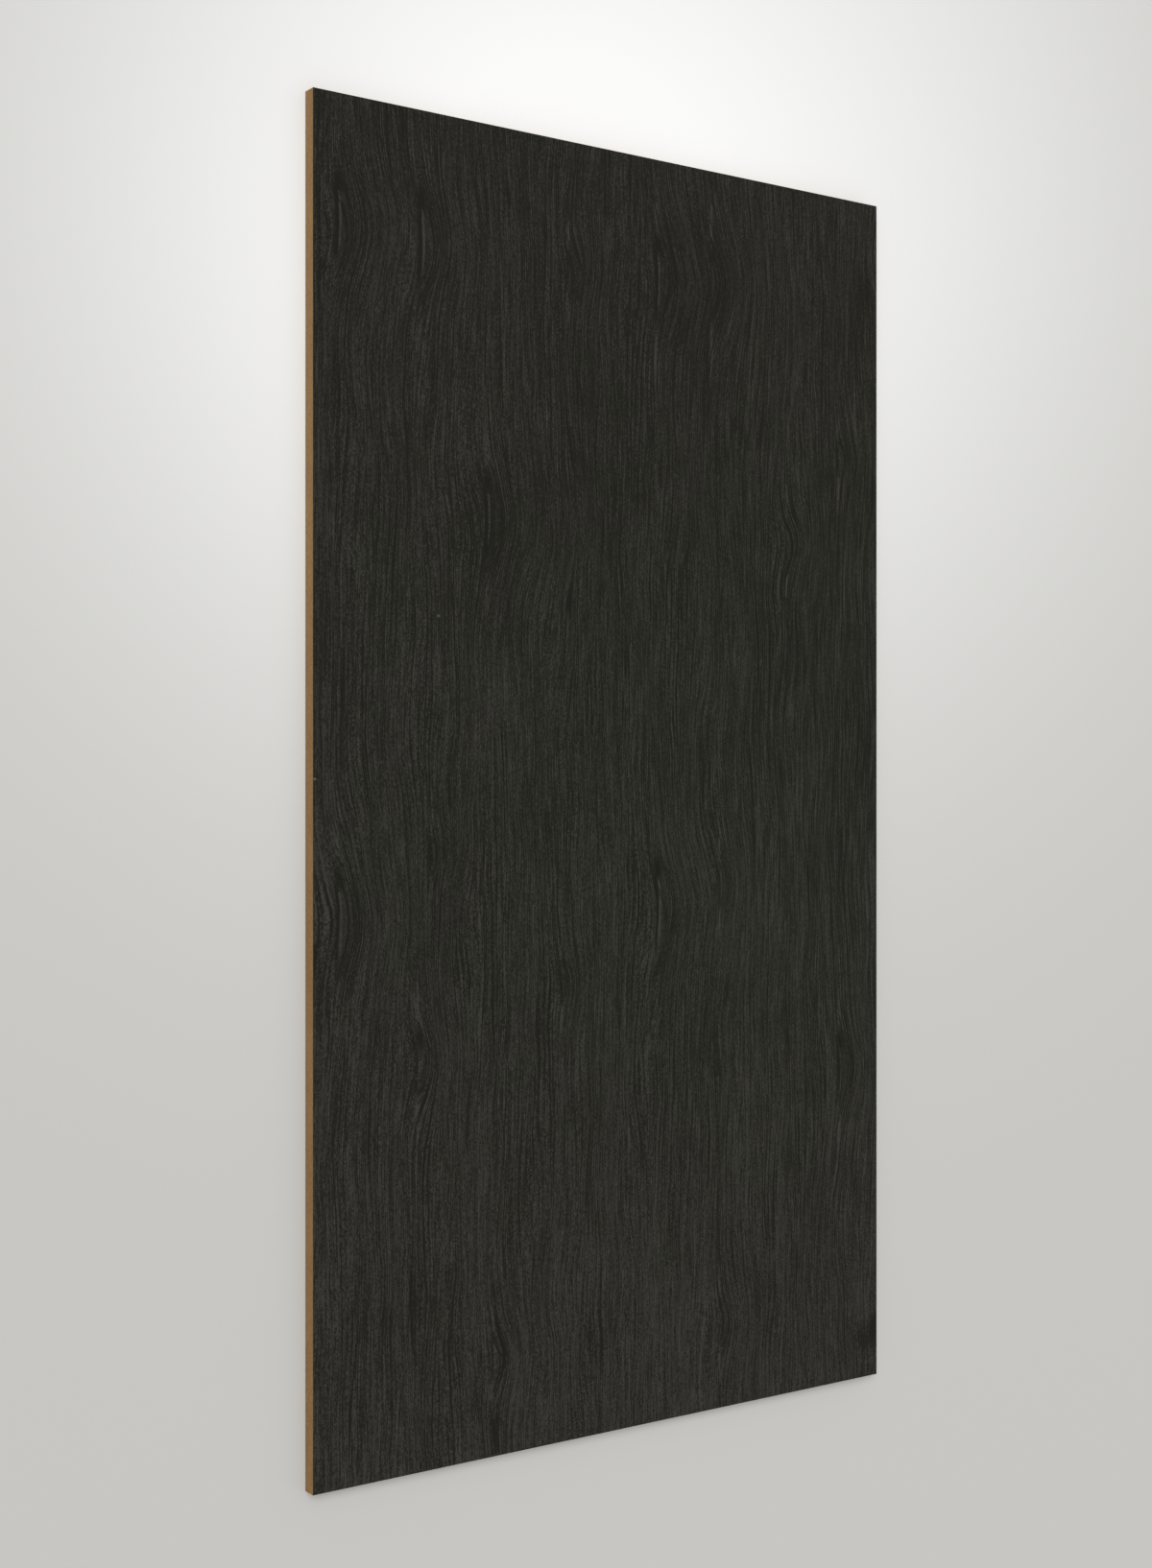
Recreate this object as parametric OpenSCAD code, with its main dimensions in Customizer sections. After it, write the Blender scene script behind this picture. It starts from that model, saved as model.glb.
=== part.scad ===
// Veneered board: one sheet of dark wood veneer laid on a plain wood-fibre core board,
// with a balancing veneer on the back. It lies flat on its back, with the dark face up.
// X runs across the grain, Y along it and Z through the thickness, with the origin at
// the middle of the underside. Sizes are in millimetres.

/* [Sheet] */
// Length of the sheet, along the grain
sheet_length = 2250; // [600:10:3050]
// Width of the sheet, across the grain
sheet_width = 1220; // [300:10:1530]

/* [Layers] */
// Thickness of the wood-fibre core board
core_thickness = 25; // [3:0.5:40]
// Thickness of the dark veneer on the face
face_thickness = 0.6; // [0.3:0.1:3]
// Thickness of the balancing veneer on the back
back_thickness = 0.6; // [0.3:0.1:3]

/* [Hidden] */
// The layers are pressed together, so each one starts where the one below it ends
core_z = back_thickness;
face_z = core_z + core_thickness;

// One layer of the sheet. All the layers are sawn to size together, so they share one outline.
module layer(underside, thickness) {
    translate([-sheet_width / 2, -sheet_length / 2, underside])
        cube([sheet_width, sheet_length, thickness]);
}

// Pressed wood-fibre board, raw and brown on its four sawn edges
module core_board() {
    color([0.54, 0.42, 0.29])
        layer(core_z, core_thickness);
}

// Near-black figured veneer, glued on the core with its grain along the length
module face_veneer() {
    color([0.17, 0.17, 0.15])
        layer(face_z, face_thickness);
}

// Plain veneer on the back, which keeps the board from bowing towards its face
module back_veneer() {
    color([0.22, 0.20, 0.17])
        layer(0, back_thickness);
}

core_board();
face_veneer();
back_veneer();
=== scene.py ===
"""A sheet of dark figured wood veneer on a raw-edged wood-fibre core, lying flat with its face up.

X runs across the grain, Y along it and Z out of the dark face. Lengths are in metres.
"""

import math

import bmesh
import bpy
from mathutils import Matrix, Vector


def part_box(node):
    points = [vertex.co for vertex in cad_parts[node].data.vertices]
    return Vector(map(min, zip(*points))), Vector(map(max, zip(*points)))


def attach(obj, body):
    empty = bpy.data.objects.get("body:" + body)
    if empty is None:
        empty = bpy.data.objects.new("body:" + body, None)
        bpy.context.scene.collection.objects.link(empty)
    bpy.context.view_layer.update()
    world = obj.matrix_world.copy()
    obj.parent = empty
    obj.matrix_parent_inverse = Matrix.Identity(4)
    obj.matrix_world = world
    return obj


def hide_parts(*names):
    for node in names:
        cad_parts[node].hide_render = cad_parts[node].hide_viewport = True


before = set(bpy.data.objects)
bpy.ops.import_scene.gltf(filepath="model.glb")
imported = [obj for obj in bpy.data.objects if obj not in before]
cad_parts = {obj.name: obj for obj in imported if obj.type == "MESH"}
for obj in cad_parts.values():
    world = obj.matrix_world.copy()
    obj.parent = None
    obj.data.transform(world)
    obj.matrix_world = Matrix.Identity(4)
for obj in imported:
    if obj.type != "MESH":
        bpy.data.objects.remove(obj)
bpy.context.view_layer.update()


# ---------------------------------------------------------------------------------------
# Core board. One pressed wood-fibre board, the thick middle of the sheet. It is sawn to
# size with the veneers already on it, so its four edges are raw, brown and faintly ribbed
# by the saw. Its two faces are hidden under the veneers.
# ---------------------------------------------------------------------------------------

MM = 0.001
core_low, core_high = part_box("core_board")
core_size = core_high - core_low
CORE_CELL = 2.5 * MM
CORE_ROWS = 8
SAW_PITCH = 14 * MM
SAW_DEPTH = 0.08 * MM
CORE_BROWN = (0.258, 0.147, 0.058)
CORE_DARK = (0.193, 0.106, 0.040)
CORE_PALE = (0.336, 0.201, 0.086)


def add(tree, kind, inputs=None, **settings):
    """A new node in a tree, its inputs given as values or as the sockets to link to them."""
    made = tree.nodes.new(kind)
    for name, value in settings.items():
        setattr(made, name, value)
    for socket, value in (inputs or {}).items():
        if isinstance(value, bpy.types.NodeSocket):
            tree.links.new(value, made.inputs[socket])
        else:
            made.inputs[socket].default_value = value
    return made


def calc(tree, operation, *values):
    """The result of one Math node."""
    return add(tree, "ShaderNodeMath", dict(enumerate(values)), operation=operation).outputs[0]


def vector(tree, operation, first, second):
    """The result of one Vector Math node."""
    return add(tree, "ShaderNodeVectorMath", {0: first, 1: second}, operation=operation).outputs[0]


def joined(tree, x, y, z):
    """One vector made of three numbers."""
    return add(tree, "ShaderNodeCombineXYZ", {"X": x, "Y": y, "Z": z}).outputs[0]


def split(tree, place):
    """The three numbers of a vector."""
    return add(tree, "ShaderNodeSeparateXYZ", {"Vector": place}).outputs


def noise(tree, place, scale, detail):
    """Soft noise from 0 to 1, with about this many waves to a unit and this much detail."""
    inputs = {"Vector": place, "Scale": scale, "Detail": detail}
    return add(tree, "ShaderNodeTexNoise", inputs).outputs[0]


def new_tree(name, kind, inputs, outputs):
    """A node group with named inputs and outputs, and its two end nodes."""
    tree = bpy.data.node_groups.new(name, kind)
    for socket, socket_type, value in inputs:
        made = tree.interface.new_socket(socket, in_out="INPUT", socket_type="NodeSocket" + socket_type)
        if value is not None:
            made.default_value = value
    for socket, socket_type in outputs:
        tree.interface.new_socket(socket, in_out="OUTPUT", socket_type="NodeSocket" + socket_type)
    return tree, tree.nodes.new("NodeGroupInput").outputs, tree.nodes.new("NodeGroupOutput").inputs


def grown(name, tree, values):
    """The plain mesh that a Geometry Nodes tree makes with these values, in its material alone."""
    seed = bpy.data.objects.new(name + "_seed", bpy.data.meshes.new(name + "_seed"))
    bpy.context.scene.collection.objects.link(seed)
    modifier = seed.modifiers.new("grow", "NODES")
    modifier.node_group = tree
    for item in tree.interface.items_tree:
        if item.in_out == "INPUT" and item.name in values:
            modifier[item.identifier] = values[item.name]
    bpy.context.view_layer.update()
    shape = seed.evaluated_get(bpy.context.evaluated_depsgraph_get())
    mesh = bpy.data.meshes.new_from_object(shape)
    mesh.name = name
    # The seed's empty slot comes before the material that the tree sets.
    mesh.materials.pop(index=0)
    bpy.data.objects.remove(seed)
    return mesh


def close_rim(bm, rim_edges):
    """Closes one open rim with a fan of triangles round a middle point."""
    made = bmesh.ops.contextual_create(bm, geom=rim_edges)
    bmesh.ops.poke(bm, faces=made["faces"])


def lay_map(bm, spot_of):
    """Lays the faces out flat for baked textures, under the name that the exporter looks for."""
    layer = bm.loops.layers.uv.new("OFBake")
    bm.normal_update()
    for side in bm.faces:
        for corner in side.loops:
            corner[layer].uv = spot_of(side, corner.vert.co)


def finish_piece(name, mesh, node):
    """Makes the piece that stands for one node of the frame and rides with it."""
    mesh.shade_smooth()
    mesh.set_sharp_from_angle(angle=math.radians(30))
    piece = bpy.data.objects.new(name, mesh)
    bpy.context.scene.collection.objects.link(piece)
    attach(piece, "root")
    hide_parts(node)


def three_colours(tree, tone, dark, middle, light):
    """The colour at a tone, between three that are each given with their own tone."""
    scale = add(tree, "ShaderNodeValToRGB", {"Fac": tone}, name="Colours")
    stops = scale.color_ramp.elements
    for stop, (at_tone, colour) in zip(stops, (dark, light)):
        stop.position = at_tone
        stop.color = (*colour, 1)
    stops.new(middle[0]).color = (*middle[1], 1)
    return scale.outputs[0]


# The fibreboard: one brown, mottled by fibres that lie every way in the plane of the
# board, a little darker towards the two hard-pressed faces.
CHIP_SHARE = 0.8
CLOUD_SHARE = 0.2
FLATTENED = (1.0, 1.0, 3.0)
PRESSED_DARKER = 0.08
PRESSED_CURVE = 4.0
fibreboard = bpy.data.materials.new("fibreboard")
fibreboard.use_nodes = True
nt = fibreboard.node_tree
shader = nt.nodes["Principled BSDF"]
shader.inputs["Specular IOR Level"].default_value = 0.25
place = add(nt, "ShaderNodeTexCoord").outputs["Object"]
lying = add(nt, "ShaderNodeMapping", {"Vector": place, "Scale": FLATTENED}).outputs[0]
chips = noise(nt, lying, scale=260.0, detail=4.0)
cloud = noise(nt, lying, scale=14.0, detail=2.0)
middle = (core_low.z + core_high.z) / 2
off_middle = calc(nt, "ABSOLUTE", calc(nt, "SUBTRACT", split(nt, place)["Z"], middle))
pressed = calc(nt, "POWER", calc(nt, "DIVIDE", off_middle, core_size.z / 2), PRESSED_CURVE)
cloudy = calc(nt, "MULTIPLY", cloud, CLOUD_SHARE)
speck = calc(nt, "ADD", calc(nt, "MULTIPLY", chips, CHIP_SHARE), cloudy)
tone = calc(nt, "SUBTRACT", speck, calc(nt, "MULTIPLY", pressed, PRESSED_DARKER))
brown = three_colours(nt, tone, dark=(0.3, CORE_DARK), middle=(0.5, CORE_BROWN), light=(0.7, CORE_PALE))
bump = add(nt, "ShaderNodeBump", {"Height": chips, "Strength": 0.5, "Distance": 0.2 * MM})
rough = add(nt, "ShaderNodeMapRange", {"Value": chips, "To Min": 0.8, "To Max": 0.95})
nt.links.new(brown, shader.inputs["Base Color"])
nt.links.new(rough.outputs[0], shader.inputs["Roughness"])
nt.links.new(bump.outputs[0], shader.inputs["Normal"])

# Only the four edges are made of small faces: the ribs that the saw leaves are real. They
# change along an edge and hardly at all through the board.
RIB_CHANGE = (1.0, 1.0, 0.12)
# A face looks along an axis when this much of its normal does.
FACING = 0.5
sawn, given, result = new_tree(
    "sawn_core",
    "GeometryNodeTree",
    [
        ("Size", "Vector", None),
        ("Centre", "Vector", None),
        ("Cells Across", "Int", None),
        ("Cells Along", "Int", None),
        ("Rows", "Int", None),
        ("Saw Pitch", "Float", None),
        ("Saw Depth", "Float", None),
        ("Material", "Material", None),
    ],
    [("Geometry", "Geometry")],
)
block = add(
    sawn,
    "GeometryNodeMeshCube",
    {
        "Size": given["Size"],
        "Vertices X": given["Cells Across"],
        "Vertices Y": given["Cells Along"],
        "Vertices Z": given["Rows"],
    },
).outputs["Mesh"]
normal = add(sawn, "GeometryNodeInputNormal").outputs[0]
level = calc(sawn, "GREATER_THAN", calc(sawn, "ABSOLUTE", split(sawn, normal)["Z"]), FACING)
edges = add(
    sawn, "GeometryNodeDeleteGeometry", {"Geometry": block, "Selection": level}, domain="FACE"
).outputs[0]
spot = add(sawn, "GeometryNodeInputPosition").outputs[0]
along = vector(sawn, "MULTIPLY", spot, RIB_CHANGE)
ribs = noise(sawn, along, scale=calc(sawn, "DIVIDE", 1.0, given["Saw Pitch"]), detail=2.0)
sunk = calc(sawn, "MULTIPLY", calc(sawn, "MULTIPLY", ribs, given["Saw Depth"]), -1.0)
push = add(sawn, "ShaderNodeVectorMath", {0: normal, "Scale": sunk}, operation="SCALE").outputs[0]
ribbed = add(sawn, "GeometryNodeSetPosition", {"Geometry": edges, "Offset": push}).outputs[0]
placed = add(
    sawn, "GeometryNodeTransform", {"Geometry": ribbed, "Translation": given["Centre"]}
).outputs[0]
whole = add(sawn, "GeometryNodeRealizeInstances", {"Geometry": placed}).outputs[0]
dressed = add(sawn, "GeometryNodeSetMaterial", {"Geometry": whole, "Material": given["Material"]})
sawn.links.new(dressed.outputs[0], result["Geometry"])

core_mesh = grown(
    "fibre_core",
    sawn,
    {
        "Size": core_size,
        "Centre": (core_low + core_high) / 2,
        "Cells Across": round(core_size.x / CORE_CELL),
        "Cells Along": round(core_size.y / CORE_CELL),
        "Rows": CORE_ROWS,
        "Saw Pitch": SAW_PITCH,
        "Saw Depth": SAW_DEPTH,
        "Material": fibreboard,
    },
)

# The edges are joined at the corners, and the two hidden faces are closed.
WELD = 0.01 * MM
AT_FACE = 0.1 * MM
bm = bmesh.new()
bm.from_mesh(core_mesh)
bmesh.ops.remove_doubles(bm, verts=bm.verts, dist=WELD)
for level in (core_low.z, core_high.z):
    rim = [e for e in bm.edges if e.is_boundary and abs(e.verts[0].co.z - level) < AT_FACE]
    close_rim(bm, rim)
bmesh.ops.recalc_face_normals(bm, faces=bm.faces)

# The map of the four edges is made of rows: each long edge is cut into three and each short
# one into two. The hidden faces lie in a small corner of it.
LONG_CUTS = 3
SHORT_CUTS = 2
MAP_ROWS = 2 * (LONG_CUTS + SHORT_CUTS)
MAP_WIDTH = (0.03, 0.97)
ROW_HEIGHT = (0.08, 0.92)
LOW_MARGIN = (0.005, 0.015)


def within(span, share):
    """The place on a map that is this share of the way through a span."""
    return span[0] + (span[1] - span[0]) * share


def core_spot(side, corner):
    """Where a corner of one of the core's faces lies on its map."""
    share = Vector((corner - core_low)[i] / core_size[i] for i in range(3))
    if abs(side.normal.z) > FACING:
        return within(LOW_MARGIN, share.x), within(LOW_MARGIN, share.y)
    long_edge = abs(side.normal.x) > FACING
    axis = 1 if long_edge else 0
    cuts = LONG_CUTS if long_edge else SHORT_CUTS
    first_row = 0 if long_edge else 2 * LONG_CUTS
    second_edge = side.normal[1 - axis] > 0
    middle = (side.calc_center_median()[axis] - core_low[axis]) / core_size[axis]
    cut = min(int(middle * cuts), cuts - 1)
    row = first_row + cut + (cuts if second_edge else 0)
    return within(MAP_WIDTH, share[axis] * cuts - cut), (row + within(ROW_HEIGHT, share.z)) / MAP_ROWS


lay_map(bm, core_spot)
bm.to_mesh(core_mesh)
bm.free()
finish_piece("fibre_core", core_mesh, "core_board")


# ---------------------------------------------------------------------------------------
# Face veneer. One thin leaf of near-black wood, glued flat on the core with its grain
# along the sheet. The knots that the knife just missed show as lens-shaped eyes: the
# grain runs straight past them on one side and swings round them on the other.
# ---------------------------------------------------------------------------------------

face_low, face_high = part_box("face_veneer")
FACE_CELLS = (640, 150)
FACE_SEED = 12.6
EYE_SEED = 2.5
RELIEF_DEPTH = 0.12 * MM
RELIEF_PITCH = 9 * MM
SWAY = 12 * MM
FACE_DARK = (0.0071, 0.0071, 0.0041)
FACE_MIDDLE = (0.0166, 0.0164, 0.0113)
FACE_LIGHT = (0.0402, 0.0393, 0.0318)
BROWN_CAST = (1.014, 0.981, 1.017)
OLIVE_CAST = (0.962, 1.023, 0.970)
# Where the dye took greener, and where the pores are half filled.
OLIVE_MIDDLE = (0.60, 0.00, 0.0)
OLIVE_REACH = (1.05, 0.62, 1.0)
SMOOTH_MIDDLE = (0.62, 0.00, 0.0)
SMOOTH_REACH = (0.55, 0.90, 1.0)
# Where the dye took darker, or paler where the depth is below zero: a small stain at the
# right edge, and two broad clouds. Each has its middle, its reach and its depth of tone.
STAINS = [
    ((0.612, -1.031, 0.0), (0.020, 0.022, 1.0), 0.80),
    ((0.590, -1.050, 0.0), (0.045, 0.026, 1.0), 0.28),
    ((-0.05, 0.60, 0.0), (0.62, 0.33, 1.0), 0.032),
    ((0.18, -1.12, 0.0), (0.50, 0.16, 1.0), -0.035),
]
# Two specks that the dye missed, each with its middle and its reach.
FLECKS = [
    ((-0.6075, 0.0197, 0.0), (0.003, 0.0017, 1.0)),
    ((-0.376, 0.291, 0.0), (0.002, 0.0015, 1.0)),
]
FLECK_PALE = (0.110, 0.106, 0.092)
# Each eye's place across and along the sheet, from its middle, and its size.
EYES = [
    (-0.57, 0.92, 0.040),
    (-0.415, 0.91, 0.046),
    (-0.115, 0.90, 0.022),
    (0.075, 0.91, 0.042),
    (0.20, 0.92, 0.034),
    (-0.285, 0.46, 0.042),
    (0.38, 0.46, 0.024),
    (0.51, 0.63, 0.020),
    (-0.57, -0.21, 0.046),
    (0.075, -0.21, 0.048),
    (-0.39, -0.11, 0.018),
    (0.22, -0.17, 0.022),
    (-0.13, -0.33, 0.020),
    (-0.42, -0.45, 0.030),
    (0.51, -0.53, 0.038),
    (-0.27, -0.96, 0.024),
    (0.22, -0.97, 0.024),
]

# An effect of both veneers: the tone and the height of the wood at a place in its grain.
# The eye is the nearest one: the place from its middle, across and along, and its size.
figure, given, result = new_tree(
    "wood_figure",
    "ShaderNodeTree",
    [
        ("Place", "Vector", None),
        ("Grain", "Vector", None),
        ("Eye", "Vector", None),
        ("Band Width", "Float", 16 * MM),
        ("Ring Spacing", "Float", 8 * MM),
        ("Streak Width", "Float", 3.5 * MM),
        ("Fibre Width", "Float", 2.4 * MM),
        ("Pore Depth", "Float", 1.0),
    ],
    [("Tone", "Float"), ("Height", "Float")],
)


def streaks(tree, grain, width, length, detail=2.0):
    """Noise drawn out along the grain, with waves of about this width and length."""
    drawn = vector(tree, "DIVIDE", grain, joined(tree, width, length, 1.0))
    return noise(tree, drawn, scale=1.0, detail=detail)


def eased(tree, value, at_0, at_1):
    """0 at one value and 1 at another, with a soft start and end."""
    return add(
        tree,
        "ShaderNodeMapRange",
        {"Value": value, "From Min": at_0, "From Max": at_1},
        interpolation_type="SMOOTHSTEP",
    ).outputs[0]


def spread(tree, value):
    """A value from 0 to 1, moved to lie on both sides of zero."""
    return calc(tree, "SUBTRACT", value, 0.5)


# Growth lines drift closer and further apart by a few spacings, and each fades in and out by
# itself, because the noise that fades it starts a long step away from its neighbour's.
DRIFT_WIDTH = 35 * MM
DRIFT_LENGTH = 600 * MM
DRIFT_SPACINGS = 5.0
FADE_STEP = 7.3
FADE_LENGTH = 320 * MM


def growth_lines(tree, grain, spacing, width):
    """Thin lines where each year's wood ends, each stronger and weaker along its length."""
    drift = spread(tree, streaks(tree, grain, DRIFT_WIDTH, DRIFT_LENGTH, detail=1.0))
    across, along, layer = split(tree, grain)
    count = calc(tree, "DIVIDE", across, spacing)
    phase = calc(tree, "MULTIPLY_ADD", drift, DRIFT_SPACINGS, count)
    off = calc(tree, "ABSOLUTE", spread(tree, calc(tree, "FRACT", phase)))
    line = eased(tree, calc(tree, "MULTIPLY", off, spacing), at_0=width, at_1=0.0)
    own_start = calc(tree, "MULTIPLY", calc(tree, "FLOOR", phase), FADE_STEP)
    spot = joined(tree, own_start, calc(tree, "DIVIDE", along, FADE_LENGTH), layer)
    fade = noise(tree, spot, scale=1.0, detail=1.0)
    return calc(tree, "MULTIPLY", line, eased(tree, fade, at_0=0.35, at_1=0.75))


def product(tree, *values):
    """All these values multiplied together."""
    whole = values[0]
    for value in values[1:]:
        whole = calc(tree, "MULTIPLY", whole, value)
    return whole


def bell(tree, distance, reach):
    """1 at no distance, falling smoothly to nothing over a few reaches."""
    far = calc(tree, "DIVIDE", distance, reach)
    return calc(tree, "EXPONENT", product(tree, far, far, -0.5))


# An eye is taller than it is wide, and never quite closed. The first two are shares of its
# size.
EYE_HEIGHT = 1.3
EYE_WIDTH = 0.75
EYE_SLIT = 2 * MM


def eye_shape(tree, up, size):
    """How an eye swells at a height over its middle, from 0 to 1, and how far it opens there."""
    swell = bell(tree, up, reach=product(tree, size, EYE_HEIGHT))
    return swell, calc(tree, "MULTIPLY_ADD", swell, product(tree, size, EYE_WIDTH), EYE_SLIT)


def past(tree, place, size, share):
    """How far a place lies past a line that is drawn at this share of a size."""
    return calc(tree, "MULTIPLY_ADD", size, -share, place)


right, up, size = split(figure, given["Eye"])
swell, opening = eye_shape(figure, up, size)

# Fibres and pores, drawn out along the grain. They wiggle a little sideways, and slip along
# the grain, so that they are never in step with their neighbours.
WIGGLE = 2 * MM
SLIP = 45 * MM
wiggle = spread(figure, streaks(figure, given["Place"], width=12 * MM, length=110 * MM, detail=1.0))
slip = spread(figure, streaks(figure, given["Grain"], width=5 * MM, length=150 * MM, detail=1.0))
aside = joined(figure, product(figure, wiggle, WIGGLE), product(figure, slip, SLIP), 0.0)
grain = vector(figure, "ADD", given["Grain"], aside)
band = spread(figure, streaks(figure, grain, given["Band Width"], length=500 * MM))

# The darker lines gather in loose groups, and most of all round the eyes. Their places there
# are in sizes of the eye.
LINES_ALONE = 0.33
LINES_IN_GROUP = 0.91
LINES_AT_EYE = 1.25
AT_EYE_MIDDLE = 0.7
AT_EYE_REACH = 0.8
AT_EYE_HEIGHT = 2.5
group = streaks(figure, grain, width=45 * MM, length=220 * MM, detail=1.0)
group = eased(figure, group, at_0=0.40, at_1=0.62)
group = calc(figure, "MULTIPLY_ADD", group, LINES_IN_GROUP - LINES_ALONE, LINES_ALONE)
off_eye = past(figure, right, size, AT_EYE_MIDDLE)
round_eye = product(
    figure,
    bell(figure, off_eye, reach=product(figure, size, AT_EYE_REACH)),
    bell(figure, up, reach=product(figure, size, AT_EYE_HEIGHT)),
)
group = calc(figure, "MAXIMUM", group, product(figure, round_eye, LINES_AT_EYE))

# The fine growth lines are set closer than the others. A hair is thinner than a fibre, and a
# pore is thinner still and short.
FINE_SPACING = 0.64
HAIR_SHARE = 0.65
PORE_SHARE = 0.8
line = growth_lines(figure, grain, given["Ring Spacing"], width=1.5 * MM)
fine_spacing = product(figure, given["Ring Spacing"], FINE_SPACING)
fine = growth_lines(figure, grain, fine_spacing, width=1.3 * MM)
streak = streaks(figure, grain, given["Streak Width"], length=90 * MM)
streak = eased(figure, streak, at_0=0.56, at_1=0.74)
fibre = spread(figure, streaks(figure, grain, given["Fibre Width"], length=150 * MM, detail=1.0))
hair_width = product(figure, given["Fibre Width"], HAIR_SHARE)
hair = spread(figure, streaks(figure, grain, hair_width, length=55 * MM, detail=1.0))
pore_width = product(figure, hair_width, PORE_SHARE)
pore = spread(figure, streaks(figure, grain, pore_width, length=3.2 * MM, detail=1.0))

# An eye is calm inside.
share = calc(figure, "DIVIDE", right, opening)
heart = product(
    figure,
    eased(figure, share, at_0=-0.25, at_1=0.2),
    eased(figure, share, at_0=1.1, at_1=0.8),
    eased(figure, swell, at_0=0.05, at_1=0.4),
)

# Each eye has its own strength of the marks that follow: all places round it read one spot
# of the noise, the eye's middle. A small eye has weak marks.
LEAST_OWN = 0.4
eye_middle = vector(figure, "SUBTRACT", given["Place"], given["Eye"])
own = add(
    figure,
    "ShaderNodeTexNoise",
    {"Vector": eye_middle, "W": EYE_SEED, "Scale": 20.0, "Detail": 0.0},
    noise_dimensions="4D",
).outputs[0]
own = eased(figure, own, at_0=0.3, at_1=0.7)
own = calc(figure, "MULTIPLY_ADD", own, 1 - LEAST_OWN, LEAST_OWN)
own = product(figure, own, eased(figure, size, at_0=8 * MM, at_1=34 * MM))

# A pale crescent and a dark line lie side by side along its straight side, and a dark smudge
# tops them. The crescent's place is in openings, and the smudge's height in sizes.
CRESCENT_PLACE = 0.28
SHADE_GAP = 5 * MM
SMUDGE_HEIGHT = 1.45
SMUDGE_REACH = 0.3
beside = past(figure, right, opening, CRESCENT_PLACE)
crescent = bell(figure, beside, reach=1.8 * MM)
crescent = product(figure, crescent, eased(figure, swell, at_0=0.5, at_1=0.85), own)
shade = bell(figure, calc(figure, "ADD", beside, SHADE_GAP), reach=2.6 * MM)
over = past(figure, up, size, SMUDGE_HEIGHT)
smudge = bell(figure, over, reach=product(figure, size, SMUDGE_REACH))
smudge = product(figure, bell(figure, beside, reach=5 * MM), smudge)
shade = product(figure, shade, eased(figure, swell, at_0=0.3, at_1=0.8))
shade = product(figure, calc(figure, "MAXIMUM", shade, smudge), own)

# A few thin lines follow its round side, only where the eye is large.
RIM_START = 1.5 * MM
RIM_SPACING = 5 * MM
RIM_MIDDLE = 4 * MM
RIM_THIN = 2.5
past_rim = calc(figure, "SUBTRACT", right, opening)
wave = product(figure, calc(figure, "SUBTRACT", past_rim, RIM_START), math.tau / RIM_SPACING)
wave = calc(figure, "MULTIPLY_ADD", calc(figure, "COSINE", wave), 0.5, 0.5)
rim = product(
    figure,
    calc(figure, "POWER", wave, RIM_THIN),
    bell(figure, calc(figure, "SUBTRACT", past_rim, RIM_MIDDLE), reach=5.5 * MM),
    eased(figure, swell, at_0=0.08, at_1=0.6),
    eased(figure, size, at_0=15 * MM, at_1=35 * MM),
)

# Pale flares run on above and below it, strongest where its marks are weak. Their places are
# in sizes of the eye.
FLARE_START = 3.2
FLARE_LENGTH = 0.8
FLARE_MIDDLE = 0.1
FLARE_REACH = 0.07
MOST_FLARE = 1.2
beyond = past(figure, calc(figure, "ABSOLUTE", up), size, FLARE_START)
off_flare = past(figure, right, size, FLARE_MIDDLE)
flare = product(
    figure,
    bell(figure, off_flare, reach=product(figure, size, FLARE_REACH)),
    bell(figure, beyond, reach=product(figure, size, FLARE_LENGTH)),
    calc(figure, "SUBTRACT", MOST_FLARE, own),
)

# How much each of these lightens or darkens the wood, on a scale of tones from 0 to 1. The
# last two say how much more streaky a flare is, and how much calmer an eye's heart.
MIDDLE_TONE = 0.5
BAND = 0.11
RING = 0.90
FINE_RING = 0.64
STREAK = 0.14
FIBRE = 0.60
HAIR = 1.10
PORE = 1.55
HEART = 0.03
SHADE = 0.45
RIM = 0.54
PALE = 0.48
FLARE_STREAK = 1.5
CALM = 0.5
calm = calc(figure, "MULTIPLY_ADD", heart, -CALM, 1.0)
tone = product(figure, streak, STREAK, calc(figure, "MULTIPLY_ADD", flare, FLARE_STREAK, 1.0))
tone = calc(figure, "MULTIPLY_ADD", fibre, FIBRE, tone)
tone = calc(figure, "MULTIPLY_ADD", hair, HAIR, tone)
tone = calc(figure, "MULTIPLY_ADD", pore, product(figure, given["Pore Depth"], PORE), tone)
tone = product(figure, tone, calm)
tone = calc(figure, "MULTIPLY_ADD", band, BAND, tone)
tone = calc(figure, "MULTIPLY_ADD", product(figure, line, group, calm), -RING, tone)
tone = calc(figure, "MULTIPLY_ADD", product(figure, fine, group, calm), -FINE_RING, tone)
tone = calc(figure, "ADD", tone, MIDDLE_TONE)
tone = calc(figure, "MULTIPLY_ADD", heart, -HEART, tone)
tone = calc(figure, "MULTIPLY_ADD", shade, -SHADE, tone)
tone = calc(figure, "MULTIPLY_ADD", rim, -RIM, tone)
tone = calc(figure, "MULTIPLY_ADD", calc(figure, "MAXIMUM", flare, crescent), PALE, tone)
figure.links.new(tone, result["Tone"])

# Pale fibres stand a little high and dark pores lie a little low, round a height of a half.
fibre_height = calc(figure, "MULTIPLY_ADD", fibre, 0.5, 0.5)
raised = calc(figure, "ADD", fibre_height, product(figure, pore, 0.5))
figure.links.new(raised, result["Height"])


# Broad clouds make the tone of a veneer a little uneven.
CLOUDS = 0.25


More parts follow.
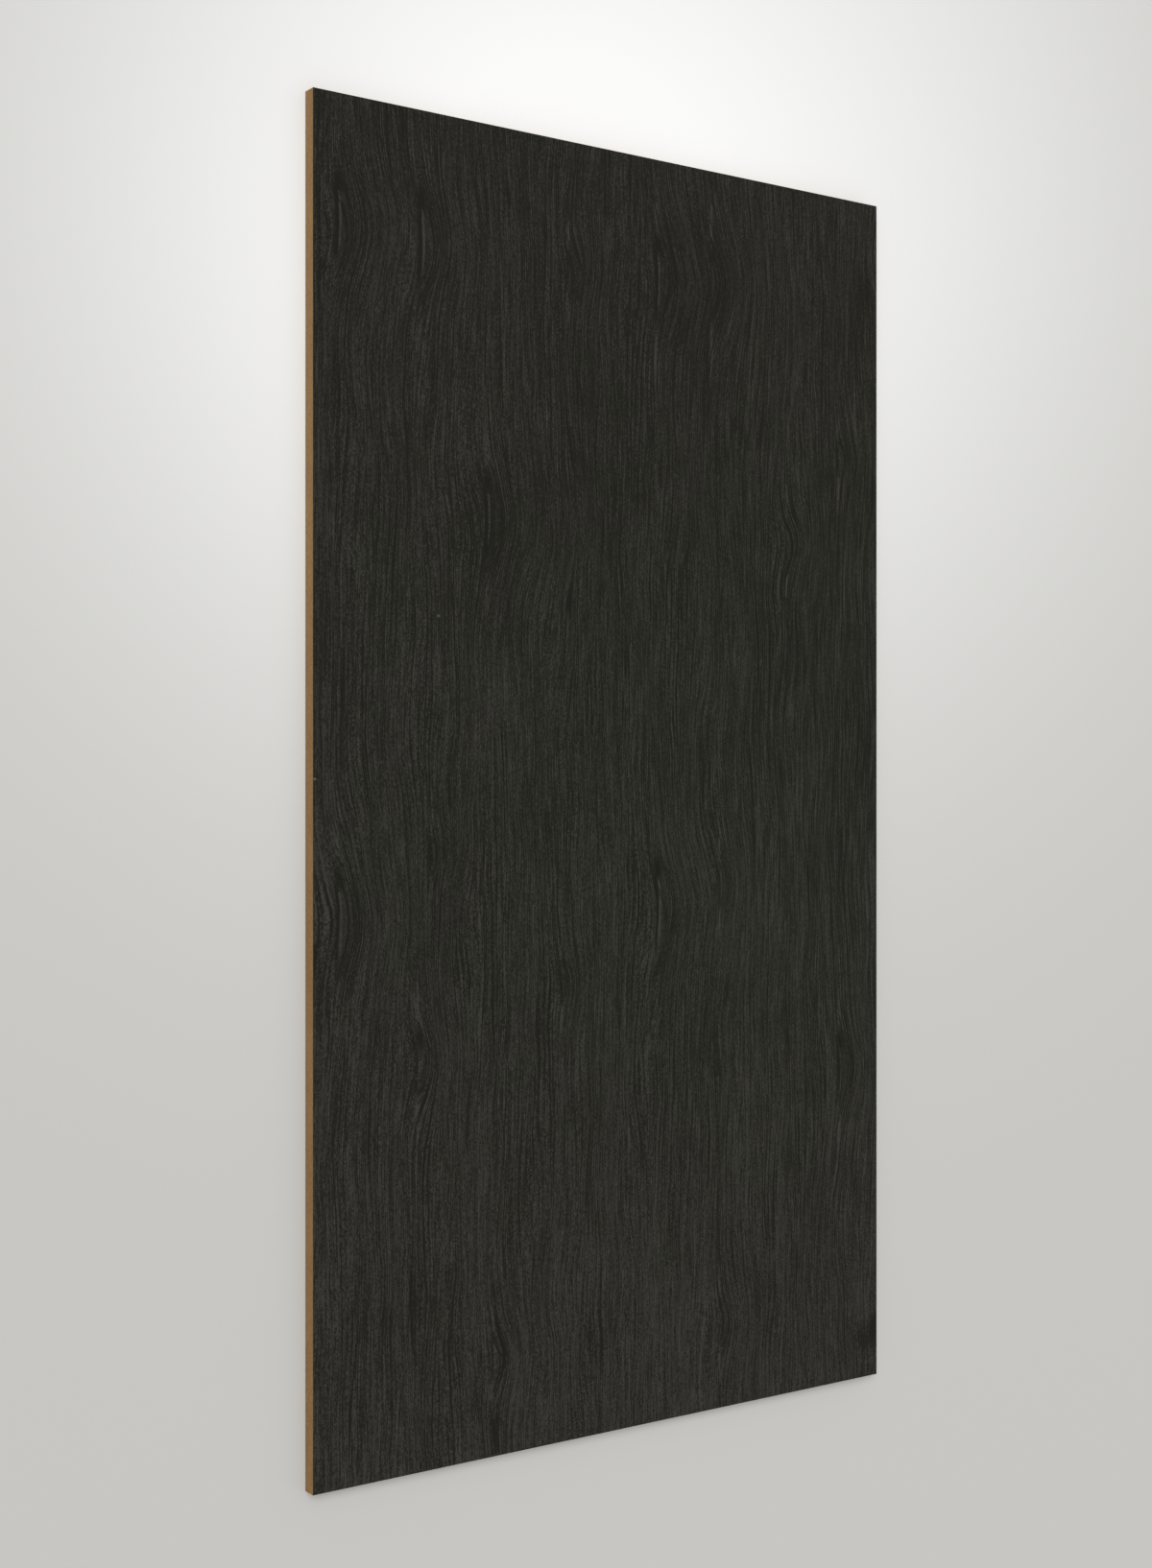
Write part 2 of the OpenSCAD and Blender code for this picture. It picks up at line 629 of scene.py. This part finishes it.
def veneer_wood(name, dark, middle, light, widths=None):
    """The finish of one veneer. Its named nodes are there for a special finish to add to."""
    wood = bpy.data.materials.new(name)
    wood.use_nodes = True
    nt = wood.node_tree
    shader = nt.nodes["Principled BSDF"]
    shader.inputs["Specular IOR Level"].default_value = 0.15
    grain = add(nt, "ShaderNodeAttribute", attribute_name="grain").outputs["Vector"]
    eye = add(nt, "ShaderNodeAttribute", attribute_name="eye").outputs["Vector"]
    place = add(nt, "ShaderNodeTexCoord", name="Place").outputs["Object"]
    drawn = add(nt, "ShaderNodeGroup", node_tree=figure, name="Figure")
    nt.links.new(place, drawn.inputs["Place"])
    nt.links.new(grain, drawn.inputs["Grain"])
    nt.links.new(eye, drawn.inputs["Eye"])
    for socket, width in (widths or {}).items():
        drawn.inputs[socket].default_value = width
    height = drawn.outputs["Height"]
    cloud = noise(nt, place, scale=4.0, detail=3.0)
    tone = calc(nt, "MULTIPLY_ADD", spread(nt, cloud), CLOUDS, drawn.outputs["Tone"])
    tone = add(nt, "ShaderNodeMath", {0: tone, 1: 0.0}, operation="ADD", name="Stained").outputs[0]
    wood_colour = three_colours(nt, tone, dark=(0.2, dark), middle=(0.5, middle), light=(0.85, light))
    bump = add(nt, "ShaderNodeBump", {"Height": height, "Strength": 0.6, "Distance": 0.15 * MM})
    rough = add(nt, "ShaderNodeMapRange", {"Value": height, "To Min": 0.78, "To Max": 0.64})
    nt.links.new(wood_colour, shader.inputs["Base Color"])
    nt.links.new(rough.outputs[0], shader.inputs["Roughness"])
    nt.links.new(bump.outputs[0], shader.inputs["Normal"])
    return wood


black_wood = veneer_wood("black_wood", FACE_DARK, FACE_MIDDLE, FACE_LIGHT)


def patch(tree, place, middle, reach):
    """1 at the middle of a soft oval patch, falling to nothing round it."""
    off = vector(tree, "DIVIDE", vector(tree, "SUBTRACT", place, middle), reach)
    flat = vector(tree, "MULTIPLY", off, (1.0, 1.0, 0.0))
    far = add(tree, "ShaderNodeVectorMath", {0: flat}, operation="LENGTH").outputs["Value"]
    return calc(tree, "EXPONENT", calc(tree, "MULTIPLY", calc(tree, "POWER", far, 2.0), -1.0))


# A Mix node's sockets have the same names for numbers, vectors and colours, so they go by
# their order: the share, then what is mixed, and the result.
SHARE_IN = 0
FIRST_VECTOR = 4
SECOND_VECTOR = 5
VECTOR_OUT = 1
FIRST_COLOUR = 6
SECOND_COLOUR = 7
COLOUR_OUT = 2


def mixed(tree, share, first, second, **settings):
    """Two colours mixed, or put together in the way that the settings say."""
    inputs = {SHARE_IN: share, FIRST_COLOUR: first, SECOND_COLOUR: second}
    return add(tree, "ShaderNodeMix", inputs, data_type="RGBA", **settings).outputs[COLOUR_OUT]


# The dye took a little greener round the middle of the right edge, in blotches, and browner
# elsewhere.
BLOTCHES = 1.2
nt = black_wood.node_tree
place = nt.nodes["Place"].outputs["Object"]
blotch = noise(nt, place, scale=9.0, detail=3.0)
olive = patch(nt, place, OLIVE_MIDDLE, OLIVE_REACH)
olive = calc(nt, "MULTIPLY_ADD", spread(nt, blotch), BLOTCHES, olive)
olive = eased(nt, olive, at_0=0.2, at_1=0.6)
cast = mixed(nt, olive, (*BROWN_CAST, 1), (*OLIVE_CAST, 1))
dyed = mixed(nt, 1.0, nt.nodes["Colours"].outputs[0], cast, blend_type="MULTIPLY")
flecks = calc(nt, "ADD", *(patch(nt, place, middle, reach) for middle, reach in FLECKS))
flecked = mixed(nt, flecks, dyed, (*FLECK_PALE, 1))
nt.links.new(flecked, nt.nodes["Principled BSDF"].inputs["Base Color"])

# It is darker in the stains, and paler towards the low end of Y by this much a metre.
PALER_END = 0.05
along = split(nt, place)["Y"]
paler = calc(nt, "MULTIPLY", along, -PALER_END)
for middle, reach, depth in STAINS:
    paler = calc(nt, "MULTIPLY_ADD", patch(nt, place, middle, reach), -depth, paler)
nt.links.new(paler, nt.nodes["Stained"].inputs[1])

# The pores are open on the left, most of all towards that end, and half filled on the right.
OPEN_PORES = 1.20
OPEN_END = 0.10
FILLED = 0.50
open_pores = calc(nt, "MULTIPLY_ADD", along, -OPEN_END, OPEN_PORES)
filled = patch(nt, place, SMOOTH_MIDDLE, SMOOTH_REACH)
pore_depth = calc(nt, "MULTIPLY_ADD", filled, -FILLED, open_pores)
nt.links.new(pore_depth, nt.nodes["Figure"].inputs["Pore Depth"])

leaf, given, result = new_tree(
    "veneer_leaf",
    "GeometryNodeTree",
    [
        ("Width", "Float", None),
        ("Length", "Float", None),
        ("Surface", "Float", None),
        ("Cells Across", "Int", None),
        ("Cells Along", "Int", None),
        ("Eyes", "Object", None),
        ("Eye Count", "Int", None),
        ("Sway", "Float", None),
        ("Relief Depth", "Float", None),
        ("Relief Pitch", "Float", None),
        ("Seed", "Float", None),
        ("Material", "Material", None),
    ],
    [("Geometry", "Geometry")],
)
grid = add(
    leaf,
    "GeometryNodeMeshGrid",
    {
        "Size X": given["Width"],
        "Size Y": given["Length"],
        "Vertices X": calc(leaf, "ADD", given["Cells Across"], 1),
        "Vertices Y": calc(leaf, "ADD", given["Cells Along"], 1),
    },
).outputs["Mesh"]
spot = add(leaf, "GeometryNodeInputPosition").outputs[0]
across, along, _ = split(leaf, spot)

# Every eye in turn pushes the grain aside: sharply within its opening, fading past its rim,
# and broadly over a wider place that reaches further on the right. Each place also learns
# which eye it is near, with its place from that eye and the eye's size. Far from all of them
# it keeps a tiny one a long way off. All of these but the last are in sizes of the eye.
RIM_PUSH = 0.42
RIM_FADE = 1.6
BROAD_PUSH = 0.60
BROAD_MIDDLE = 0.5
BROAD_LEFT = 1.1
BROAD_RIGHT = 1.8
BROAD_HEIGHT = 2.3
NEAR_ACROSS = 1.2
NEAR_ALONG = 4.6
NO_EYE = (-1.0, 0.0, 1 * MM)
knots = add(leaf, "GeometryNodeObjectInfo", {"Object": given["Eyes"]}).outputs["Geometry"]
turn = leaf.nodes.new("GeometryNodeRepeatInput")
done = leaf.nodes.new("GeometryNodeRepeatOutput")
turn.pair_with_output(done)
done.repeat_items.new("FLOAT", "Push")
done.repeat_items.new("FLOAT", "Nearness")
done.repeat_items.new("VECTOR", "Eye")
turn.inputs["Eye"].default_value = NO_EYE
leaf.links.new(given["Eye Count"], turn.inputs["Iterations"])
leaf.links.new(grid, turn.inputs["Geometry"])
knot_place = add(
    leaf,
    "GeometryNodeSampleIndex",
    {"Geometry": knots, "Value": spot, "Index": turn.outputs["Iteration"]},
    data_type="FLOAT_VECTOR",
).outputs[0]
knot_size = add(leaf, "GeometryNodeInputNamedAttribute", {"Name": "size"}, data_type="FLOAT").outputs[0]
size = add(
    leaf,
    "GeometryNodeSampleIndex",
    {"Geometry": knots, "Value": knot_size, "Index": turn.outputs["Iteration"]},
    data_type="FLOAT",
).outputs[0]
right, up, _ = split(leaf, vector(leaf, "SUBTRACT", spot, knot_place))


def sized(share):
    """A share of the eye's size."""
    return calc(leaf, "MULTIPLY", size, share)


swell, opening = eye_shape(leaf, up, size)
inside = calc(leaf, "MINIMUM", calc(leaf, "MAXIMUM", calc(leaf, "DIVIDE", right, opening), 0.0), 1.0)
beyond = calc(leaf, "MAXIMUM", calc(leaf, "SUBTRACT", right, opening), 0.0)
fading = calc(leaf, "EXPONENT", calc(leaf, "DIVIDE", beyond, sized(-RIM_FADE)))
sharp_push = product(leaf, swell, sized(RIM_PUSH), inside, fading)
far = calc(leaf, "SUBTRACT", right, sized(BROAD_MIDDLE))
left_side = calc(leaf, "LESS_THAN", far, 0.0)
far_reach = calc(leaf, "MULTIPLY_ADD", left_side, BROAD_LEFT - BROAD_RIGHT, BROAD_RIGHT)
broad_push = product(
    leaf,
    bell(leaf, far, reach=product(leaf, size, far_reach)),
    bell(leaf, up, reach=sized(BROAD_HEIGHT)),
    sized(BROAD_PUSH),
)
push = calc(leaf, "ADD", sharp_push, broad_push)
sideways = calc(leaf, "DIVIDE", calc(leaf, "ABSOLUTE", far), sized(NEAR_ACROSS))
lengthways = calc(leaf, "DIVIDE", calc(leaf, "ABSOLUTE", up), sized(NEAR_ALONG))
nearness = calc(leaf, "SUBTRACT", 1.0, calc(leaf, "MAXIMUM", sideways, lengthways))
closer = calc(leaf, "GREATER_THAN", nearness, turn.outputs["Nearness"])
this_eye = joined(leaf, right, up, size)
nearest = add(
    leaf,
    "ShaderNodeMix",
    {SHARE_IN: closer, FIRST_VECTOR: turn.outputs["Eye"], SECOND_VECTOR: this_eye},
    data_type="VECTOR",
).outputs[VECTOR_OUT]
leaf.links.new(calc(leaf, "ADD", push, turn.outputs["Push"]), done.inputs["Push"])
leaf.links.new(calc(leaf, "MAXIMUM", nearness, turn.outputs["Nearness"]), done.inputs["Nearness"])
leaf.links.new(nearest, done.inputs["Eye"])
leaf.links.new(turn.outputs["Geometry"], done.inputs["Geometry"])


# The grain sways slowly over the whole sheet, with a quicker and smaller sway on top. Noise
# lies mostly within a quarter of its middle, a half, so four times that reaches 1.
WAVE_RISE = 4.0
QUICK_SHARE = 0.17


def wander(tree, place, width, length):
    """A slow sway over the sheet, mostly from -1 to 1, with waves of this width and length."""
    drawn = vector(tree, "MULTIPLY", place, (1 / width, 1 / length, 1.0))
    wave = noise(tree, drawn, scale=1.0, detail=1.0)
    return calc(tree, "MULTIPLY_ADD", wave, WAVE_RISE, -WAVE_RISE / 2)


start = joined(leaf, across, along, given["Seed"])
slow = wander(leaf, start, width=120 * MM, length=340 * MM)
quick = wander(leaf, start, width=40 * MM, length=110 * MM)
sway = calc(leaf, "MULTIPLY_ADD", quick, QUICK_SHARE, slow)
sway = calc(leaf, "MULTIPLY", sway, given["Sway"])
ring = calc(leaf, "ADD", calc(leaf, "SUBTRACT", across, done.outputs["Push"]), sway)
grain = joined(leaf, ring, along, given["Seed"])
marked = add(
    leaf,
    "GeometryNodeStoreNamedAttribute",
    {"Geometry": done.outputs["Geometry"], "Name": "grain", "Value": grain},
    data_type="FLOAT_VECTOR",
    domain="POINT",
).outputs[0]
marked = add(
    leaf,
    "GeometryNodeStoreNamedAttribute",
    {"Geometry": marked, "Name": "eye", "Value": done.outputs["Eye"]},
    data_type="FLOAT_VECTOR",
    domain="POINT",
).outputs[0]

# The soft early wood lies a little below the hard late wood.
kept_grain = add(
    leaf, "GeometryNodeInputNamedAttribute", {"Name": "grain"}, data_type="FLOAT_VECTOR"
).outputs[0]
ridges = streaks(leaf, kept_grain, given["Relief Pitch"], length=400 * MM, detail=0.0)
sunk = calc(leaf, "MULTIPLY", calc(leaf, "SUBTRACT", ridges, 1.0), given["Relief Depth"])
level = calc(leaf, "ADD", sunk, given["Surface"])
lift = joined(leaf, 0.0, 0.0, level)
laid = add(leaf, "GeometryNodeSetPosition", {"Geometry": marked, "Offset": lift}).outputs[0]
whole = add(leaf, "GeometryNodeRealizeInstances", {"Geometry": laid}).outputs[0]
dressed = add(leaf, "GeometryNodeSetMaterial", {"Geometry": whole, "Material": given["Material"]})
leaf.links.new(dressed.outputs[0], result["Geometry"])

knot_mesh = bpy.data.meshes.new("knots")
knot_mesh.from_pydata([(x, y, 0.0) for x, y, size in EYES], [], [])
sizes = knot_mesh.attributes.new("size", "FLOAT", "POINT")
sizes.data.foreach_set("value", [size for x, y, size in EYES])
knot_cloud = bpy.data.objects.new("knots", knot_mesh)
bpy.context.scene.collection.objects.link(knot_cloud)

face_mesh = grown(
    "figured_face",
    leaf,
    {
        "Width": face_high.x - face_low.x,
        "Length": face_high.y - face_low.y,
        "Surface": face_high.z,
        "Cells Across": FACE_CELLS[0],
        "Cells Along": FACE_CELLS[1],
        "Eyes": knot_cloud,
        "Eye Count": len(EYES),
        "Sway": SWAY,
        "Relief Depth": RELIEF_DEPTH,
        "Relief Pitch": RELIEF_PITCH,
        "Seed": FACE_SEED,
        "Material": black_wood,
    },
)
bpy.data.objects.remove(knot_cloud)


# A veneer's show side fills its map, and the thin sides and the glue side lie in its margins.
SHOW_SPAN = (0.02, 0.98)
HIGH_MARGIN = (0.985, 0.995)


def thicken(mesh, glue_side):
    """Turns a leaf's show surface into a closed sheet that is flat on its glue side."""
    bm = bmesh.new()
    bm.from_mesh(mesh)
    made = bmesh.ops.extrude_edge_only(bm, edges=[e for e in bm.edges if e.is_boundary])
    for vertex in (v for v in made["geom"] if isinstance(v, bmesh.types.BMVert)):
        vertex.co.z = glue_side
    close_rim(bm, [e for e in bm.edges if e.is_boundary])
    bmesh.ops.recalc_face_normals(bm, faces=bm.faces)
    half = Vector((max(v.co.x for v in bm.verts), max(v.co.y for v in bm.verts)))
    show_side = sum(v.co.z for v in mesh.vertices) / len(mesh.vertices)

    def veneer_spot(side, corner):
        """Where a corner of one of the veneer's faces lies on its map."""
        across = (corner.x / half.x + 1) / 2
        along = (corner.y / half.y + 1) / 2
        deep = (corner.z - glue_side) / (show_side - glue_side)
        if abs(side.normal.x) > FACING:
            margin = HIGH_MARGIN if side.normal.x > 0 else LOW_MARGIN
            return within(margin, deep), within(SHOW_SPAN, along)
        if abs(side.normal.y) > FACING:
            margin = HIGH_MARGIN if side.normal.y > 0 else LOW_MARGIN
            return within(SHOW_SPAN, across), within(margin, deep)
        if side.normal.z * (show_side - glue_side) > 0:
            return within(SHOW_SPAN, across), within(SHOW_SPAN, along)
        return within(LOW_MARGIN, across), within(LOW_MARGIN, along)

    lay_map(bm, veneer_spot)
    bm.to_mesh(mesh)
    bm.free()


thicken(face_mesh, face_low.z)
finish_piece("figured_face", face_mesh, "face_veneer")


# ---------------------------------------------------------------------------------------
# Back veneer. A plain leaf of the same thickness, glued to the hidden side of the core so
# that the sheet stays flat. It is straight-grained, browner than the face and has no eyes.
# ---------------------------------------------------------------------------------------

back_low, back_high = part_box("back_veneer")
BACK_CELLS = (300, 60)
BACK_SEED = 8.0
BACK_SWAY = 5 * MM
BACK_DARK = (0.0210, 0.0165, 0.0120)
BACK_MIDDLE = (0.0400, 0.0330, 0.0250)
BACK_LIGHT = (0.0700, 0.0600, 0.0470)
BACK_WIDTHS = {
    "Band Width": 34 * MM,
    "Ring Spacing": 13 * MM,
    "Streak Width": 4 * MM,
    "Fibre Width": 2 * MM,
}

# This side looks down, so its relief sinks upwards, which is a depth below zero.
plain_wood = veneer_wood("plain_wood", BACK_DARK, BACK_MIDDLE, BACK_LIGHT, BACK_WIDTHS)
back_mesh = grown(
    "plain_back",
    leaf,
    {
        "Width": back_high.x - back_low.x,
        "Length": back_high.y - back_low.y,
        "Surface": back_low.z,
        "Cells Across": BACK_CELLS[0],
        "Cells Along": BACK_CELLS[1],
        "Eye Count": 0,
        "Sway": BACK_SWAY,
        "Relief Depth": -RELIEF_DEPTH,
        "Relief Pitch": RELIEF_PITCH,
        "Seed": BACK_SEED,
        "Material": plain_wood,
    },
)
thicken(back_mesh, back_high.z)
finish_piece("plain_back", back_mesh, "back_veneer")


# ---------------------------------------------------------------------------------------
# Studio. A wide pale floor under soft light, with the camera looking down on the sheet. A
# painted pool of light in the floor's colour fades to grey paper.
# ---------------------------------------------------------------------------------------

FLOOR_SIZE = 60.0
FLOOR_DROP = 0.2 * MM
# Two soft pools of light painted on the paper, and how white each paints it.
WIDE_PAINTED_LIGHT = {"middle": (0.45, 1.32, 0.0), "reach": (1.18, 1.17, 1.0)}
NEAR_PAINTED_LIGHT = {"middle": (-0.26, 0.87, 0.0), "reach": (0.82, 0.77, 1.0)}
WIDE_PAINTED_SHARE = 0.574
NEAR_PAINTED_SHARE = 0.729
PAINTED_LIGHT_WHITE = (0.970, 0.970, 0.963)
PAPER_GREY = (0.571, 0.565, 0.545)
floor_mesh = bpy.data.meshes.new("floor")
half = FLOOR_SIZE / 2
corners = [(-half, -half), (half, -half), (half, half), (-half, half)]
floor_mesh.from_pydata([(x, y, -FLOOR_DROP) for x, y in corners], [], [(0, 1, 2, 3)])
floor = bpy.data.objects.new("floor", floor_mesh)
bpy.context.scene.collection.objects.link(floor)
paper = bpy.data.materials.new("studio_paper_painted_light")
paper.use_nodes = True
nt = paper.node_tree
shader = nt.nodes["Principled BSDF"]
shader.inputs["Roughness"].default_value = 0.9
shader.inputs["Specular IOR Level"].default_value = 0.0
place = add(nt, "ShaderNodeTexCoord").outputs["Object"]
# Painted light: the floor's colour is white at the middle of each pool and fades to the grey paper
# round it.
wide = calc(nt, "MULTIPLY", patch(nt, place, **WIDE_PAINTED_LIGHT), WIDE_PAINTED_SHARE)
painted_pool = calc(nt, "MULTIPLY_ADD", patch(nt, place, **NEAR_PAINTED_LIGHT), NEAR_PAINTED_SHARE, wide)
lit = mixed(nt, painted_pool, (*PAPER_GREY, 1), (*PAINTED_LIGHT_WHITE, 1))
nt.links.new(lit, shader.inputs["Base Color"])
floor_mesh.materials.append(paper)

# The sky gives half of the light and the soft sun the other half. Seen directly, mirrored or
# through something clear, the sky is the same grey as the far floor.
SKY = 0.5
SUN_SOFTNESS = math.radians(40)
SUN_FROM = Vector((-0.55, 0.45, 1.0))
world = bpy.data.worlds.new("studio")
bpy.context.scene.world = world
world.use_nodes = True
nt = world.node_tree
rays = add(nt, "ShaderNodeLightPath")
seen = calc(nt, "ADD", rays.outputs["Is Camera Ray"], rays.outputs["Is Glossy Ray"])
seen = calc(nt, "ADD", seen, rays.outputs["Is Transmission Ray"])
sky = mixed(nt, seen, (SKY, SKY, SKY, 1), (*PAPER_GREY, 1))
nt.links.new(sky, nt.nodes["Background"].inputs["Color"])

lamp = bpy.data.objects.new("softbox", bpy.data.lights.new("softbox", "SUN"))
lamp.data.angle = SUN_SOFTNESS
lamp.data.energy = (1 - SKY) * math.pi / SUN_FROM.normalized().z
lamp.rotation_euler = SUN_FROM.to_track_quat("Z", "Y").to_euler()
bpy.context.scene.collection.objects.link(lamp)

# The camera stands off the left edge, high up, and leans over to look down on the sheet.
camera = bpy.data.objects.new("camera", bpy.data.cameras.new("camera"))
camera.data.lens = 48.82
camera.data.sensor_width = 36
camera.location = (-2.2178, 0.0117, 3.0479)
camera.rotation_euler = (0, math.radians(-35.06), 0)
bpy.context.scene.collection.objects.link(camera)
bpy.context.scene.camera = camera
bpy.context.scene.view_settings.view_transform = "Standard"
